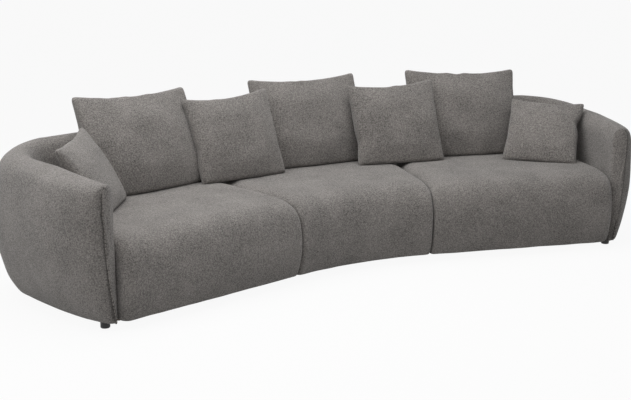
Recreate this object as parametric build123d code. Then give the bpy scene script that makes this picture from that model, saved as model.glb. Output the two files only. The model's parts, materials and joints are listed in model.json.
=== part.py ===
from build123d import *
import os
from math import asin, cos, degrees, radians, sin, sqrt

# Curved three-module sofa, in millimetres.
# Work frame: +X to the right as seen from the front, +Y to the back, +Z up.
# Y starts at the middle of the front line and moves to the middle of the depth on export.

# Plan of the front line: an arc for the centre seat, straight tangents for the end seats.
FRONT_RADIUS = 1544.0
HALF_TURN = 14.25
END_SEAT_WIDTH = 1000.0
SEAT_DEPTH = 735.0
CORNER_RADIUS = 150.0

# Heights
FOOT_HEIGHT = 32.0
RAIL_TOP = 235.0
SEAT_HEIGHT = 415.0
ARM_FRONT_HEIGHT = 640.0
ARM_HEIGHT = 664.0
BACK_HEIGHT = 700.0
FRAME_TOP = 520.0
FRAME_BOTTOM = 66.0

# Clearances
JOINT_GAP = 4.0
SOFT_GAP = 2.0
FIT = 0.3

# Padded seat cover
FRONT_BULGE = 45.0
FRONT_TUCK = 6.0
END_PINCH = 11.0
SEAT_CROWN = 4.0
END_DROP = 16.0
FRONT_ROLL = 120.0
BULGE_LEVEL = 200.0
ROLL_START = 75.0
CREST_SHARE = 0.22
CREST_DROP = 0.27
# Share of the seat's width, and how far the end seam pulls it in there
SEAT_STATIONS = ((0.0, 1.0), (0.035, 0.6), (0.14, 0.14), (0.5, 0.0), (0.86, 0.14), (0.965, 0.6), (1.0, 1.0))
SIDE_WALL = 14.0
FRONT_WALL = 50.0
SEAT_PAD = 40.0

# Seat frame, springs and platform
BOARD = 22.0
DUST_COVER = 2.0
WIRE = 4.0
CLIP_WIDTH = 20.0
CLIP_HEIGHT = 7.0
CLIP_DEPTH = 14.0
CLIP_SHEET = 1.2
SPRING_PITCH = 42.0
SPRING_HALF_WIDTH = 26.0
SPRING_BEND = 0.45
FELT = 5.0
END_SPRINGS = 5
CENTRE_SPRINGS = 4

# Arm and back frame, measured outwards from the inner face of the padding
PANEL_SET = 56.0
PANEL = 4.0
POST_DEPTH = 36.0
POST_WIDTH = 60.0
PLY = 18.0
ARM_FRAME_START = 190.0
FOOT_BLOCK_SET = 4.0
FOOT_BLOCK_WIDTH = 36.0
FOOT_BLOCK_LENGTH = 60.0

# Arm and back padding: distances outwards from the inner face
ARM_INNER_LEAN = 2.0
ARM_RIDGE = 62.0
ARM_SHOULDER = 182.0
ARM_BULGE = 200.0
ARM_LOWER = 188.0
ARM_TUCK = 152.0
ARM_FOOTING = 98.0
BACK_INNER_LEAN = 52.0
BACK_RIDGE = 118.0
BACK_SHOULDER = 208.0
BACK_BULGE = 220.0
BACK_LOWER = 208.0
BACK_TUCK = 174.0
BACK_FOOTING = 124.0
FRONT_RIDGE = 34.0
FRONT_SHOULDER = 66.0
FRONT_SIDE = 62.0
FRONT_LOWER = 50.0
FRONT_TUCK_IN = 33.0
FRONT_FOOTING = 17.0
INNER_ROLL = 66.0
OUTER_ROLL = 120.0
SIDE_LEVEL = 390.0
LOWER_LEVEL = 236.0
TUCK_LEVEL = 112.0
ARM_SET_BACK = 14.0
ARM_FLARE = 400.0
ARM_STATIONS = (0.0, 0.08, 0.25, 0.55, 1.0)
FRONT_ROLL_SHARE = 0.42
CORNER_STEPS = 4

# Exposed seam flange on the front of each arm
FLANGE_PROUD = 8.0
FLANGE_LAP = 6.0
FLANGE_THICK = 4.0

# Feet, link plates and screws
FOOT_DIAMETER = 42.0
FOOT_INSET = 30.0
ARM_FOOT_DEPTH = 96.0
INNER_FOOT_DEPTH = 240.0
SCREW = 6.0
SCREW_HEAD = 12.0
SCREW_BITE = 40.0
HEAD_HEIGHT = 4.0
HEAD_RECESS = 12.0
PLATE_LENGTH = 124.0
PLATE_WIDTH = 32.0
PLATE = 3.0
PLATE_PLACES = (160.0, 560.0)

# Loose cushions
BACK_CUSHION_WIDTH = 630.0
BACK_CUSHION_HEIGHT = 504.0
BACK_CUSHION_THICK = 160.0
SCATTER_WIDTH = 480.0
SCATTER_HEIGHT = 463.0
SCATTER_THICK = 130.0
SMALL_WIDTH = 400.0
SMALL_HEIGHT = 403.0
SMALL_THICK = 120.0
CUSHION_EDGE = 16.0
CUSHION_DRAW = 16.0
CUSHION_SINK = 30.0
COVER_WALL = 3.0
CROWN_POWER = 2.4
CROWN_ROUND = 0.75
CUSHION_STATIONS = (-1.0, -0.94, -0.78, -0.42, 0.0, 0.42, 0.78, 0.94, 1.0)
BACK_LEAN = 21.0

# Place of each back cushion: distance from the module's joint or middle line, then depth and tilt in its own plane
LEFT_BACK_ALONG = -405.0
LEFT_BACK_DEPTH = 610.0
LEFT_BACK_TILT = 2.0
CENTRE_BACK_X = 73.0
CENTRE_BACK_DEPTH = 600.0
RIGHT_BACK_ALONG = -418.0
RIGHT_BACK_DEPTH = 610.0
RIGHT_BACK_TILT = 1.5

# Place, turn, lean and tilt of the scatter cushions in the work frame
LEFT_SCATTER = (-405.0, 478.0)
LEFT_SCATTER_TURN = 6.0
RIGHT_SCATTER = (504.0, 430.0)
RIGHT_SCATTER_TURN = -12.0
RIGHT_SCATTER_TILT = -1.5
LEFT_CORNER = (-1208.0, 186.0)
LEFT_CORNER_TURN = 53.5
LEFT_CORNER_LEAN = 29.0
LEFT_CORNER_TILT = -5.5
RIGHT_CORNER = (1175.0, 104.0)
RIGHT_CORNER_TURN = -45.0
RIGHT_CORNER_LEAN = 38.0
RIGHT_CORNER_TILT = 2.0

# Levels and lines worked out from the sizes above
RAIL_BOTTOM = FOOT_HEIGHT + DUST_COVER
SPRING_LEVEL = RAIL_TOP + CLIP_HEIGHT / 2
FELT_BOTTOM = RAIL_TOP + CLIP_HEIGHT + FIT
FOAM_BOTTOM = FELT_BOTTOM + FELT
FOAM_TOP = SEAT_HEIGHT - SEAT_PAD
WINDOW_TOP = FOAM_BOTTOM
CORE_INSET = SIDE_WALL + FIT
INNER_FACE = SEAT_DEPTH + SOFT_GAP
ARM_FACE = -END_SEAT_WIDTH - SOFT_GAP
CORNER_X = ARM_FACE + CORNER_RADIUS
CORNER_Y = INNER_FACE - CORNER_RADIUS
POST_SET = PANEL_SET + PANEL
POST_BACK = POST_SET + POST_DEPTH
RAIL_FRONT = FRONT_WALL + FIT
SPRING_FRONT = RAIL_FRONT + BOARD / 2
REAR_RAIL = INNER_FACE + POST_SET - FIT - BOARD
SPRING_BACK = REAR_RAIL + BOARD / 2
JOINT_SIDE = JOINT_GAP / 2 + CORE_INSET


def on_arc(angle):
    """Frame on the centre front line: X along it, Y straight back, turned about the arc's centre."""
    pivot = Location((0, -FRONT_RADIUS, 0))
    return pivot * Location((0, 0, 0), (0, 0, -angle)) * Location((0, FRONT_RADIUS, 0))


LEFT = on_arc(-HALF_TURN)


def mirrored(shape):
    return mirror(shape, about=Plane.YZ)


def slab(face, bottom, top):
    return extrude(Pos(0, 0, bottom) * face, amount=top - bottom, dir=(0, 0, 1))


def block(x1, x2, y1, y2, z1, z2):
    middle = Pos((x1 + x2) / 2, (y1 + y2) / 2, (z1 + z2) / 2)
    return middle * Box(abs(x2 - x1), abs(y2 - y1), abs(z2 - z1))


def group(shapes):
    return Compound(children=list(shapes))


def end_plan(inset, front):
    """Plan of the left seat, drawn in by inset, with its rear corner rounded to suit the shell."""
    left = -END_SEAT_WIDTH + inset
    right = -JOINT_GAP / 2 - inset
    rear = SEAT_DEPTH - inset
    radius = CORNER_RADIUS - SOFT_GAP - inset
    bend = radius * sqrt(0.5)
    middle = (CORNER_X - bend, CORNER_Y + bend)
    edges = [
        Line((left, front), (right, front)),
        Line((right, front), (right, rear)),
        Line((right, rear), (CORNER_X, rear)),
        ThreePointArc((CORNER_X, rear), middle, (left, CORNER_Y)),
        Line((left, CORNER_Y), (left, front)),
    ]
    return make_face(edges)


def arc_plan(side, front, rear):
    """Plan of the centre module between two arcs, with sides parallel to its joint planes."""
    corners = []
    for depth in (front, rear):
        radius = FRONT_RADIUS + depth
        half = radians(HALF_TURN) - asin(side / radius)
        across = radius * sin(half)
        along = radius * cos(half) - FRONT_RADIUS
        corners.append((across, along))
    near, far = corners
    edges = [
        ThreePointArc((-near[0], near[1]), (0, front), near),
        Line(near, far),
        ThreePointArc(far, (0, rear), (-far[0], far[1])),
        Line((-far[0], far[1]), (-near[0], near[1])),
    ]
    return make_face(edges)


def shell_strip(inner, outer):
    """Plan strip that follows the left arm, the corner and the back, between two distances outwards."""
    small = CORNER_RADIUS + inner
    large = CORNER_RADIUS + outer
    bend = sqrt(0.5)
    stop = -JOINT_SIDE
    edges = [
        Line((CORNER_X - small, ARM_FRAME_START), (CORNER_X - small, CORNER_Y)),
        ThreePointArc(
            (CORNER_X - small, CORNER_Y),
            (CORNER_X - small * bend, CORNER_Y + small * bend),
            (CORNER_X, CORNER_Y + small),
        ),
        Line((CORNER_X, CORNER_Y + small), (stop, CORNER_Y + small)),
        Line((stop, CORNER_Y + small), (stop, CORNER_Y + large)),
        Line((stop, CORNER_Y + large), (CORNER_X, CORNER_Y + large)),
        ThreePointArc(
            (CORNER_X, CORNER_Y + large),
            (CORNER_X - large * bend, CORNER_Y + large * bend),
            (CORNER_X - large, CORNER_Y),
        ),
        Line((CORNER_X - large, CORNER_Y), (CORNER_X - large, ARM_FRAME_START)),
        Line((CORNER_X - large, ARM_FRAME_START), (CORNER_X - small, ARM_FRAME_START)),
    ]
    return make_face(edges)


def seat_section(place, ease):
    """Side profile of a seat. ease is 0 in its middle and 1 at its ends, where the seams pull it in."""
    bulge = FRONT_BULGE - END_PINCH * ease
    tuck = FRONT_TUCK + END_PINCH / 2 * ease
    top = SEAT_HEIGHT + SEAT_CROWN - (END_DROP + SEAT_CROWN) * ease
    roll = (-bulge / 2, top - ROLL_START)
    crest = (FRONT_ROLL * CREST_SHARE, top - ROLL_START * CREST_DROP)
    points = {
        "bottom": (tuck, FOOT_HEIGHT),
        "front": (-bulge, BULGE_LEVEL),
        "roll": roll,
        "crest": crest,
        "top": (FRONT_ROLL, top),
        "rear": (SEAT_DEPTH, top),
        "heel": (SEAT_DEPTH, FOOT_HEIGHT),
    }
    put = {name: place * Pos(0, y, z) for name, (y, z) in points.items()}
    at = {name: spot.position for name, spot in put.items()}
    return Wire([
        ThreePointArc(at["bottom"], at["front"], at["roll"]),
        ThreePointArc(at["roll"], at["crest"], at["top"]),
        Line(at["top"], at["rear"]),
        Line(at["rear"], at["heel"]),
        Line(at["heel"], at["bottom"]),
    ])


def end_seat_form():
    wires = []
    span = END_SEAT_WIDTH - JOINT_GAP / 2
    for share, ease in SEAT_STATIONS:
        wires.append(seat_section(Pos(-END_SEAT_WIDTH + share * span, 0, 0), ease))
    form = Solid.make_loft(wires)
    outline = slab(end_plan(0, -2 * FRONT_BULGE), 0, SEAT_HEIGHT)
    return form & outline


def centre_seat_form():
    wires = []
    half = HALF_TURN - degrees(JOINT_GAP / 2 / FRONT_RADIUS)
    for share, ease in SEAT_STATIONS:
        wires.append(seat_section(on_arc(half * (2 * share - 1)), ease))
    form = Solid.make_loft(wires)
    roof = block(-END_SEAT_WIDTH, END_SEAT_WIDTH, -SEAT_DEPTH, 2 * SEAT_DEPTH, SEAT_HEIGHT, 2 * SEAT_HEIGHT)
    return form - roof


def arm_profile():
    return (ARM_INNER_LEAN, ARM_RIDGE, ARM_SHOULDER, ARM_BULGE, ARM_LOWER, ARM_TUCK, ARM_FOOTING)


def back_profile():
    return (BACK_INNER_LEAN, BACK_RIDGE, BACK_SHOULDER, BACK_BULGE, BACK_LOWER, BACK_TUCK, BACK_FOOTING)


def front_profile():
    return (0.0, FRONT_RIDGE, FRONT_SHOULDER, FRONT_SIDE, FRONT_LOWER, FRONT_TUCK_IN, FRONT_FOOTING)


def between(first, second, share):
    return tuple(a + (b - a) * share for a, b in zip(first, second))


def shell_section(base, outward, profile, height, roll_share=1.0):
    """Upright section of the arm or back padding, from its inner foot over the roll to its outer foot."""
    lean, ridge, shoulder, bulge, lower, tuck, footing = profile

    def spot(reach, level):
        return Vector(base[0] + outward[0] * reach, base[1] + outward[1] * reach, level)

    drop = OUTER_ROLL * roll_share
    half = sqrt(0.5)
    inner_top = spot(lean, height - INNER_ROLL)
    inner_bend = spot(lean + (ridge - lean) * (1 - half), height - INNER_ROLL * (1 - half))
    crest = spot(ridge, height)
    outer_bend = spot(ridge + (shoulder - ridge) * half, height - drop * (1 - half))
    outer_top = spot(shoulder, height - drop)
    low = spot(lower, LOWER_LEVEL)
    foot = spot(footing, FOOT_HEIGHT)
    heel = spot(0, FOOT_HEIGHT)
    return [
        Line(heel, inner_top),
        ThreePointArc(inner_top, inner_bend, crest),
        ThreePointArc(crest, outer_bend, outer_top),
        ThreePointArc(outer_top, spot(bulge, SIDE_LEVEL), low),
        ThreePointArc(low, spot(tuck, TUCK_LEVEL), foot),
        Line(foot, heel),
    ]


def arm_form():
    """Padding of the left arm, swelling out behind its narrow front."""
    wires = []
    for share in ARM_STATIONS:
        y = ARM_SET_BACK + share * (CORNER_Y - ARM_SET_BACK)
        flare = min(1.0, (y - ARM_SET_BACK) / ARM_FLARE)
        swell = sqrt(1 - (1 - flare) ** 2)
        profile = between(front_profile(), arm_profile(), swell)
        height = ARM_FRONT_HEIGHT + (ARM_HEIGHT - ARM_FRONT_HEIGHT) * swell
        roll_share = FRONT_ROLL_SHARE + (1 - FRONT_ROLL_SHARE) * swell
        wires.append(Wire(shell_section((ARM_FACE, y), (-1, 0), profile, height, roll_share)))
    return Solid.make_loft(wires)


def corner_form():
    """Padding of the rear left corner, from the arm's section to the back's."""
    wires = []
    for step in range(CORNER_STEPS + 1):
        share = step / CORNER_STEPS
        turn = radians(90 * share)
        outward = (-cos(turn), sin(turn))
        base = (CORNER_X + CORNER_RADIUS * outward[0], CORNER_Y + CORNER_RADIUS * outward[1])
        profile = between(arm_profile(), back_profile(), share)
        height = ARM_HEIGHT + (BACK_HEIGHT - ARM_HEIGHT) * share
        wires.append(Wire(shell_section(base, outward, profile, height)))
    return Solid.make_loft(wires)


def end_shell_form():
    """Arm, corner and back padding of the left module, in one piece."""
    section = make_face(shell_section((CORNER_X, INNER_FACE), (0, 1), back_profile(), BACK_HEIGHT))
    back = extrude(section, amount=-JOINT_GAP / 2 - CORNER_X, dir=(1, 0, 0))
    return arm_form() + corner_form() + back


def centre_shell_form():
    half = HALF_TURN - degrees(JOINT_GAP / 2 / (FRONT_RADIUS + INNER_FACE))
    section = make_face(shell_section((0, INNER_FACE), (0, 1), back_profile(), BACK_HEIGHT))
    axis = Axis((0, -FRONT_RADIUS, 0), (0, 0, 1))
    return revolve(on_arc(half) * section, axis, 2 * half)


def end_window():
    """Opening under the seat through which the seat frame meets the back frame."""
    left = CORNER_X - FIT
    right = -JOINT_SIDE + FIT
    return block(left, right, SEAT_DEPTH - 2 * CORE_INSET, INNER_FACE + POST_SET, 0, WINDOW_TOP)


def centre_window():
    plan = arc_plan(JOINT_SIDE - FIT, SEAT_DEPTH - 2 * CORE_INSET, INNER_FACE + POST_SET)
    return slab(plan, 0, WINDOW_TOP)


def foot_places():
    """Plan points of the feet: left module in its own frame, then the centre module's angles."""
    rear = REAR_RAIL + BOARD / 2
    inner = -JOINT_SIDE - 2 * FOOT_INSET
    under_side = JOINT_SIDE + BOARD / 2
    left = [
        (ARM_FACE - FOOT_BLOCK_SET - FOOT_BLOCK_WIDTH / 2, ARM_FOOT_DEPTH),
        (-under_side, INNER_FOOT_DEPTH),
        (CORNER_X + 2 * FOOT_INSET, rear),
        (inner, rear),
    ]
    places = [LEFT * Pos(x, y, 0) for x, y in left]
    for side, depth in ((under_side, INNER_FOOT_DEPTH), (-inner, rear)):
        angle = HALF_TURN - degrees(side / (FRONT_RADIUS + depth))
        places.append(on_arc(-angle) * Pos(0, depth, 0))
    return places


def plate_places():
    return [LEFT * Pos(0, y, 0) for y in PLATE_PLACES]


def plate_holes():
    reach = JOINT_SIDE + BOARD / 2
    spots = []
    for place in plate_places():
        spots.append(place * Pos(-reach, 0, 0))
        spots.append(place * Pos(reach, 0, 0))
    return spots


def both_sides(places):
    """The same plan points on the right-hand half."""
    right = [Pos(-p.position.X, p.position.Y, 0) for p in places]
    return [Pos(p.position.X, p.position.Y, 0) for p in places] + right


FEET = both_sides(foot_places())
PLATE_SCREWS = both_sides(plate_holes())
SCREW_TOP = RAIL_BOTTOM + SCREW_BITE


def drilled(shape):
    """Clear the screws that come up through the underside of this piece."""
    box = shape.bounding_box()
    for place in FEET + PLATE_SCREWS:
        x, y = place.position.X, place.position.Y
        if box.min.X - SCREW < x < box.max.X + SCREW and box.min.Y - SCREW < y < box.max.Y + SCREW:
            hole = place * Pos(0, 0, SCREW_TOP / 2) * Cylinder(SCREW / 2 + FIT, SCREW_TOP + 2 * FIT)
            shape = shape - hole
    return shape


def screw(head_bottom):
    head = Pos(0, 0, head_bottom + HEAD_HEIGHT / 2) * Cylinder(SCREW_HEAD / 2, HEAD_HEIGHT)
    length = SCREW_TOP - head_bottom - HEAD_HEIGHT
    shank = Pos(0, 0, head_bottom + HEAD_HEIGHT + length / 2) * Cylinder(SCREW / 2, length)
    return head + shank


def foot():
    height = FOOT_HEIGHT - FIT
    body = Pos(0, 0, height / 2) * Cylinder(FOOT_DIAMETER / 2, height)
    body = fillet(body.edges().group_by(Axis.Z)[0], 2 * DUST_COVER)
    recess = Pos(0, 0, HEAD_RECESS / 2) * Cylinder(SCREW_HEAD / 2 + FIT, HEAD_RECESS)
    bore = Pos(0, 0, height / 2) * Cylinder(SCREW / 2 + FIT, height)
    return body - recess - bore


def link_plate():
    plate = Pos(0, 0, FOOT_HEIGHT - FIT - PLATE / 2) * Box(PLATE_LENGTH, PLATE_WIDTH, PLATE)
    plate = fillet(plate.edges().filter_by(Axis.Z), PLATE_WIDTH / 4)
    reach = JOINT_SIDE + BOARD / 2
    for x in (-reach, reach):
        plate = plate - Pos(x, 0, FOOT_HEIGHT / 2) * Cylinder(SCREW / 2 + FIT, FOOT_HEIGHT)
    return plate


def spring():
    """One zigzag spring, from the front rail to the rear rail."""
    runs = int((SPRING_BACK - SPRING_FRONT) // SPRING_PITCH)
    pitch = (SPRING_BACK - SPRING_FRONT) / runs
    points = []
    for run in range(runs + 1):
        side = SPRING_HALF_WIDTH if run % 2 == 0 else -SPRING_HALF_WIDTH
        y = SPRING_FRONT + run * pitch
        points.append((-side, y, SPRING_LEVEL))
        points.append((side, y, SPRING_LEVEL))
    path = FilletPolyline(*points, radius=pitch * SPRING_BEND)
    start = Plane(origin=path @ 0, z_dir=path % 0)
    return sweep(start * Circle(WIRE / 2), path=path)


def clip(facing):
    """Folded steel clip that holds a spring's end bar; facing is 1 at the front rail, -1 at the rear."""
    outer = Pos(0, 0, RAIL_TOP + CLIP_HEIGHT / 2) * Box(CLIP_WIDTH, CLIP_DEPTH, CLIP_HEIGHT)
    throat = CLIP_HEIGHT - 2 * CLIP_SHEET
    slot = Pos(0, facing * CLIP_SHEET, RAIL_TOP + CLIP_HEIGHT / 2)
    return outer - slot * Box(CLIP_WIDTH, CLIP_DEPTH, throat)


def spring_frames():
    """Frames that carry the springs: left module, then centre module."""
    inner = -JOINT_SIDE - BOARD
    outer = CORNER_X + BOARD
    step = (inner - outer) / END_SPRINGS
    left = [LEFT * Pos(outer + step * (i + 0.5), 0, 0) for i in range(END_SPRINGS)]
    spread = HALF_TURN - degrees((JOINT_SIDE + BOARD) / (FRONT_RADIUS + SPRING_FRONT))
    step = 2 * spread / CENTRE_SPRINGS
    centre = [on_arc(-spread + step * (i + 0.5)) for i in range(CENTRE_SPRINGS)]
    return left, centre


def clips_at(frames):
    shapes = []
    for frame in frames:
        shapes.append(frame * Pos(0, SPRING_FRONT, 0) * clip(1))
        shapes.append(frame * Pos(0, SPRING_BACK, 0) * clip(-1))
    return shapes


def arm_flange():
    """Flange of the seam where the outer panel meets the panel wrapped round the arm's front."""
    profile = front_profile()
    height = ARM_FRONT_HEIGHT

    def edge(offset):
        ridge = Vector(ARM_FACE - profile[1], ARM_SET_BACK, height + offset)
        shoulder = Vector(ARM_FACE - profile[2] - offset, ARM_SET_BACK, height - OUTER_ROLL * FRONT_ROLL_SHARE)
        side = Vector(ARM_FACE - profile[3] - offset, ARM_SET_BACK, SIDE_LEVEL)
        low = Vector(ARM_FACE - profile[4] - offset, ARM_SET_BACK, LOWER_LEVEL)
        tuck = Vector(ARM_FACE - profile[5] - offset, ARM_SET_BACK, TUCK_LEVEL)
        foot = Vector(ARM_FACE - profile[6] - offset, ARM_SET_BACK, FOOT_HEIGHT)
        return ridge, shoulder, side, low, tuck, foot

    out = edge(FLANGE_PROUD)
    back = edge(-FLANGE_LAP)
    face = make_face([
        Line(out[0], out[1]),
        ThreePointArc(out[1], out[2], out[3]),
        ThreePointArc(out[3], out[4], out[5]),
        Line(out[5], back[5]),
        ThreePointArc(back[5], back[4], back[3]),
        ThreePointArc(back[3], back[2], back[1]),
        Line(back[1], back[0]),
        Line(back[0], out[0]),
    ])
    return extrude(Pos(0, -FIT, 0) * face, amount=FLANGE_THICK, dir=(0, -1, 0))


def pillow(width, height, thick, edge):
    """Crowned cushion with thin edges and sides drawn in between its corners. Front is -Y."""
    wires = []
    for share in CUSHION_STATIONS:
        swell = (1 - abs(share) ** CROWN_POWER) ** CROWN_ROUND
        half_thick = (edge + 2 * FIT + (thick - edge) * swell) / 2
        half_high = height / 2 - CUSHION_DRAW * (1 - share ** 2)
        x = share * width / 2
        half_edge = edge / 2
        wires.append(Wire([
            ThreePointArc((x, -half_edge, -half_high), (x, -half_thick, 0), (x, -half_edge, half_high)),
            Line((x, -half_edge, half_high), (x, half_edge, half_high)),
            ThreePointArc((x, half_edge, half_high), (x, half_thick, 0), (x, half_edge, -half_high)),
            Line((x, half_edge, -half_high), (x, -half_edge, -half_high)),
        ]))
    body = Solid.make_loft(wires)
    radius = (height ** 2 / 4 + CUSHION_DRAW ** 2) / (2 * CUSHION_DRAW)
    for side in (-1, 1):
        x = side * (width / 2 + radius - CUSHION_DRAW)
        body = body - Pos(x, 0, 0) * Rot(90, 0, 0) * Cylinder(radius, 2 * thick)
    return body


def seated(form, place, level):
    """Put a cushion in place and flatten it where it rests on the seat."""
    reach = 10 * SEAT_HEIGHT
    below = Pos(0, 0, level - reach / 2) * Box(reach, reach, reach)
    return place * form - below


def cushion_layers(width, height, thick):
    """Outside of a cushion's cover, inside of the cover and outside of the filling, each with its inset."""
    layers = []
    for inset in (0.0, COVER_WALL, COVER_WALL + FIT):
        form = pillow(width - 2 * inset, height - 2 * inset, thick - 2 * inset, CUSHION_EDGE - 2 * inset)
        layers.append((inset, Pos(0, 0, height / 2 - CUSHION_SINK) * form))
    return layers


def cushion(layers, place):
    """Cover and filling of one loose cushion."""
    level = SEAT_HEIGHT + FIT
    outside, inside, filling = [seated(form, place, level + inset) for inset, form in layers]
    return outside - inside, filling


def leaning(x, y, turn, lean, tilt=0.0):
    """Place of a cushion that leans back; tilt turns it clockwise in its own plane, as seen from its front."""
    return Location((x, y, SEAT_HEIGHT), (0, 0, turn)) * Rot(-lean, 0, 0) * Rot(0, tilt, 0)


def foot_block(room):
    """Block in the arm's front that takes the foot screw, or with room its pocket."""
    near = ARM_FACE - FOOT_BLOCK_SET + room
    far = ARM_FACE - FOOT_BLOCK_SET - FOOT_BLOCK_WIDTH - room
    half = FOOT_BLOCK_LENGTH / 2 + room
    top = SCREW_TOP + PLY + room
    return block(far, near, ARM_FOOT_DEPTH - half, ARM_FOOT_DEPTH + half, FOOT_HEIGHT - room, top)


def end_module():
    """Pieces of the left module, in place."""
    pieces = {}
    core = CORE_INSET
    cover = end_seat_form() - slab(end_plan(SIDE_WALL, FRONT_WALL), 0, FOAM_TOP) - end_window()
    pieces["seat_cover"] = cover
    pieces["seat_foam"] = slab(end_plan(core, RAIL_FRONT), FOAM_BOTTOM, FOAM_TOP)
    pieces["spring_pad"] = slab(end_plan(core, RAIL_FRONT), FELT_BOTTOM, FOAM_BOTTOM)
    front_left = -END_SEAT_WIDTH + core
    joint = -JOINT_SIDE
    behind = RAIL_FRONT + BOARD
    pieces["front_rail"] = block(front_left, joint, RAIL_FRONT, behind, RAIL_BOTTOM, RAIL_TOP)
    pieces["rear_rail"] = block(CORNER_X, joint, REAR_RAIL, REAR_RAIL + BOARD, RAIL_BOTTOM, RAIL_TOP)
    inner_rail = block(joint - BOARD, joint, behind, REAR_RAIL, RAIL_BOTTOM, RAIL_TOP)
    outer_rail = block(CORNER_X, CORNER_X + BOARD, behind, REAR_RAIL, RAIL_BOTTOM, RAIL_TOP)
    pieces["side_rails"] = group([inner_rail, outer_rail])
    floor = slab(end_plan(core, RAIL_FRONT), FOOT_HEIGHT, RAIL_BOTTOM)
    tongue = block(CORNER_X, joint, SEAT_DEPTH - 2 * core, REAR_RAIL + BOARD, FOOT_HEIGHT, RAIL_BOTTOM)
    pieces["dust_cover"] = floor + tongue
    slot = slab(shell_strip(PANEL_SET - FIT, POST_BACK + FIT), FRAME_BOTTOM - FIT, FRAME_TOP + FIT)
    pieces["shell_padding"] = end_shell_form() - slot - end_window() - foot_block(FIT)
    strip = shell_strip(POST_SET, POST_BACK)
    pieces["shell_rails"] = group([
        slab(strip, FRAME_BOTTOM, FRAME_BOTTOM + PLY),
        slab(strip, FRAME_TOP - PLY, FRAME_TOP),
    ])
    low = FRAME_BOTTOM + PLY
    high = FRAME_TOP - PLY
    face = INNER_FACE
    posts = []
    for y in (ARM_FRAME_START, CORNER_Y - POST_WIDTH):
        posts.append(block(ARM_FACE - POST_BACK, ARM_FACE - POST_SET, y, y + POST_WIDTH, low, high))
    posts.append(foot_block(0))
    middle = (CORNER_X + joint - POST_WIDTH) / 2
    for x in (CORNER_X, middle, joint - POST_WIDTH):
        posts.append(block(x, x + POST_WIDTH, face + POST_SET, face + POST_BACK, low, high))
    pieces["shell_posts"] = group(posts)
    arm_out = ARM_FACE - POST_SET
    pieces["arm_panel"] = block(arm_out, arm_out + PANEL, ARM_FRAME_START, CORNER_Y, FRAME_BOTTOM, FRAME_TOP)
    panel_front = face + PANEL_SET
    pieces["back_panel"] = block(CORNER_X, joint, panel_front, panel_front + PANEL, WINDOW_TOP, FRAME_TOP)
    pieces["arm_flange"] = arm_flange()
    placed = {}
    for name, shape in pieces.items():
        placed[name] = LEFT * shape
    for name in ("front_rail", "rear_rail", "side_rails", "dust_cover", "shell_posts"):
        placed[name] = drilled(placed[name])
    return placed


def centre_module():
    """Pieces of the centre module, in place."""
    pieces = {}
    side = JOINT_SIDE
    wall = JOINT_GAP / 2 + SIDE_WALL
    pocket = slab(arc_plan(wall, FRONT_WALL, SEAT_DEPTH - SIDE_WALL), 0, FOAM_TOP)
    pieces["seat_cover"] = centre_seat_form() - pocket - centre_window()
    core = arc_plan(side, RAIL_FRONT, SEAT_DEPTH - CORE_INSET)
    pieces["seat_foam"] = slab(core, FOAM_BOTTOM, FOAM_TOP)
    pieces["spring_pad"] = slab(core, FELT_BOTTOM, FOAM_BOTTOM)
    behind = RAIL_FRONT + BOARD
    pieces["front_rail"] = slab(arc_plan(side, RAIL_FRONT, behind), RAIL_BOTTOM, RAIL_TOP)
    pieces["rear_rail"] = slab(arc_plan(side, REAR_RAIL, REAR_RAIL + BOARD), RAIL_BOTTOM, RAIL_TOP)
    ring = slab(arc_plan(side, behind + FIT, REAR_RAIL - FIT), RAIL_BOTTOM, RAIL_TOP)
    hollow = slab(arc_plan(side + BOARD, 0, 2 * SEAT_DEPTH), 0, 2 * RAIL_TOP)
    pieces["side_rails"] = ring - hollow
    floor = arc_plan(side, RAIL_FRONT, REAR_RAIL + BOARD)
    pieces["dust_cover"] = slab(floor, FOOT_HEIGHT, RAIL_BOTTOM)
    slot_plan = arc_plan(side - FIT, INNER_FACE + PANEL_SET - FIT, INNER_FACE + POST_BACK + FIT)
    slot = slab(slot_plan, FRAME_BOTTOM - FIT, FRAME_TOP + FIT)
    pieces["shell_padding"] = centre_shell_form() - slot - centre_window()
    strip = arc_plan(side, INNER_FACE + POST_SET, INNER_FACE + POST_BACK)
    pieces["shell_rails"] = group([
        slab(strip, FRAME_BOTTOM, FRAME_BOTTOM + PLY),
        slab(strip, FRAME_TOP - PLY, FRAME_TOP),
    ])
    low = FRAME_BOTTOM + PLY
    high = FRAME_TOP - PLY
    reach = HALF_TURN - degrees((side + POST_WIDTH / 2 + FIT) / (FRONT_RADIUS + INNER_FACE + POST_SET))
    posts = []
    for angle in (-reach, 0, reach):
        near = INNER_FACE + POST_SET
        far = INNER_FACE + POST_BACK - FIT
        posts.append(on_arc(angle) * block(-POST_WIDTH / 2, POST_WIDTH / 2, near, far, low, high))
    pieces["shell_posts"] = group(posts)
    panel_plan = arc_plan(side, INNER_FACE + PANEL_SET, INNER_FACE + POST_SET - FIT)
    pieces["back_panel"] = slab(panel_plan, WINDOW_TOP, FRAME_TOP)
    for name in ("front_rail", "rear_rail", "side_rails", "dust_cover"):
        pieces[name] = drilled(pieces[name])
    return pieces


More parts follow.
